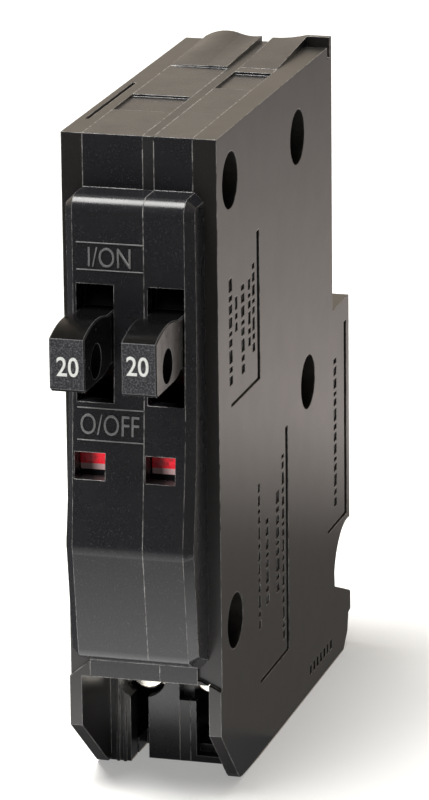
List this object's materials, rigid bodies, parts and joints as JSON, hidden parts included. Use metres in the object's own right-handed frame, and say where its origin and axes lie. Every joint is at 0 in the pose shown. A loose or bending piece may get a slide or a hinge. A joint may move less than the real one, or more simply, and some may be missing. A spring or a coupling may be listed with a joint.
{
  "type": "tandem circuit breaker",
  "caption": "Slim plug-on circuit breaker with side-by-side toggles, red trip flags, inner contact and latch mechanism, load screw terminals below and a stab jaw behind.",
  "frame": {"origin": "middle of the case's width and of the overall depth, at the bottom (load) end", "axes": "+X across the case to the right pole, +Y from the toggles to the back that plugs on the panel, +Z from the load end up to the line end"},
  "size_m": [0.019, 0.0782, 0.0835],
  "materials": {
    "case_black": "moulded thermoset, half gloss",
    "handle_black": "satin moulded, fine grain",
    "flag_red": "moulded, gloss",
    "copper": "bare rolled copper",
    "silver": "silver alloy contact",
    "steel": "rolled, zinc plated",
    "plated_steel": "bright zinc plated",
    "spring_steel": "drawn wire and strip",
    "bimetal": "rolled strip",
    "black_steel": "black finished steel"
  },
  "bodies": {
    "case": {"left_cover": "case_black", "left_case": "case_black", "centre_barrier": "case_black", "right_case": "case_black", "right_cover": "case_black", "case_rivets": "black_steel", "line_jaw": "copper", "jaw_spring": "spring_steel", "left_pivot_pins": "steel", "left_fixed_contact": "silver", "left_line_strap": "copper", "left_arc_plates": "steel", "left_mechanism_spring": "spring_steel", "left_bimetal": "bimetal", "left_yoke": "steel", "left_load_strap": "copper", "left_calibration_screw": "steel", "left_braid": "copper", "left_terminal_lug": "plated_steel", "right_pivot_pins": "steel", "right_fixed_contact": "silver", "right_line_strap": "copper", "right_arc_plates": "steel", "right_mechanism_spring": "spring_steel", "right_bimetal": "bimetal", "right_yoke": "steel", "right_load_strap": "copper", "right_calibration_screw": "steel", "right_braid": "copper", "right_terminal_lug": "plated_steel"},
    "left_toggle": {"left_handle": "handle_black"},
    "left_contact_carrier": {"left_contact_arm": "copper", "left_moving_contact": "silver"},
    "left_latch": {"left_trip_lever": "steel", "left_trip_flag": "flag_red"},
    "left_magnet_plate": {"left_armature": "steel"},
    "left_clamp": {"left_clamp_plate": "plated_steel"},
    "left_screw": {"left_terminal_screw": "plated_steel"},
    "right_toggle": {"right_handle": "handle_black"},
    "right_contact_carrier": {"right_contact_arm": "copper", "right_moving_contact": "silver"},
    "right_latch": {"right_trip_lever": "steel", "right_trip_flag": "flag_red"},
    "right_magnet_plate": {"right_armature": "steel"},
    "right_clamp": {"right_clamp_plate": "plated_steel"},
    "right_screw": {"right_terminal_screw": "plated_steel"}
  },
  "joints": [
    {"name": "left_toggle_pivot", "type": "hinge", "parent": "case", "child": "left_toggle", "pos_m": [-0.00415, -0.01735, 0.0584], "axis": [-1, 0, 0], "range_deg": [-16, 16]},
    {"name": "left_arm_pivot", "type": "hinge", "parent": "case", "child": "left_contact_carrier", "pos_m": [-0.00415, -0.00985, 0.0586], "axis": [1, 0, 0], "range_deg": [-11.6, 11.6], "deforming": ["left_mechanism_spring", "left_braid"]},
    {"name": "left_latch_pivot", "type": "hinge", "parent": "case", "child": "left_latch", "pos_m": [-0.00415, -0.01285, 0.044], "axis": [1, 0, 0], "range_deg": [0, 16], "stiffness_Nm_per_rad": 0.001, "springref_deg": -17.19},
    {"name": "left_armature_pivot", "type": "hinge", "parent": "case", "child": "left_magnet_plate", "pos_m": [-0.00415, 0.00625, 0.0475], "axis": [1, 0, 0], "range_deg": [0, 2], "stiffness_Nm_per_rad": 0.001, "springref_deg": -11.46},
    {"name": "left_clamp_slide", "type": "slide", "parent": "case", "child": "left_clamp", "axis": [0, 1, 0], "range_m": [0, 0.00245]},
    {"name": "left_screw_turn", "type": "hinge", "parent": "left_clamp", "child": "left_screw", "pos_m": [-0.004, -0.00785, 0.0109], "axis": [0, 1, 0], "range_deg": [0, 1262]},
    {"name": "right_toggle_pivot", "type": "hinge", "parent": "case", "child": "right_toggle", "pos_m": [0.00455, -0.01735, 0.0584], "axis": [-1, 0, 0], "range_deg": [-16, 16]},
    {"name": "right_arm_pivot", "type": "hinge", "parent": "case", "child": "right_contact_carrier", "pos_m": [0.00455, -0.00985, 0.0586], "axis": [1, 0, 0], "range_deg": [-11.6, 11.6], "deforming": ["right_mechanism_spring", "right_braid"]},
    {"name": "right_latch_pivot", "type": "hinge", "parent": "case", "child": "right_latch", "pos_m": [0.00455, -0.01285, 0.044], "axis": [1, 0, 0], "range_deg": [0, 16], "stiffness_Nm_per_rad": 0.001, "springref_deg": -17.19},
    {"name": "right_armature_pivot", "type": "hinge", "parent": "case", "child": "right_magnet_plate", "pos_m": [0.00455, 0.00625, 0.0475], "axis": [1, 0, 0], "range_deg": [0, 2], "stiffness_Nm_per_rad": 0.001, "springref_deg": -11.46},
    {"name": "right_clamp_slide", "type": "slide", "parent": "case", "child": "right_clamp", "axis": [0, 1, 0], "range_m": [0, 0.00245]},
    {"name": "right_screw_turn", "type": "hinge", "parent": "right_clamp", "child": "right_screw", "pos_m": [0.00425, -0.00785, 0.0109], "axis": [0, 1, 0], "range_deg": [0, 1262]}
  ],
  "couplings": [
    {"joint": "left_arm_pivot", "follows": "left_toggle_pivot", "ratio": 0.71875},
    {"joint": "left_screw_turn", "follows": "left_clamp_slide", "rad_per_m": 8976},
    {"joint": "right_arm_pivot", "follows": "right_toggle_pivot", "ratio": 0.71875},
    {"joint": "right_screw_turn", "follows": "right_clamp_slide", "rad_per_m": 8976}
  ]
}
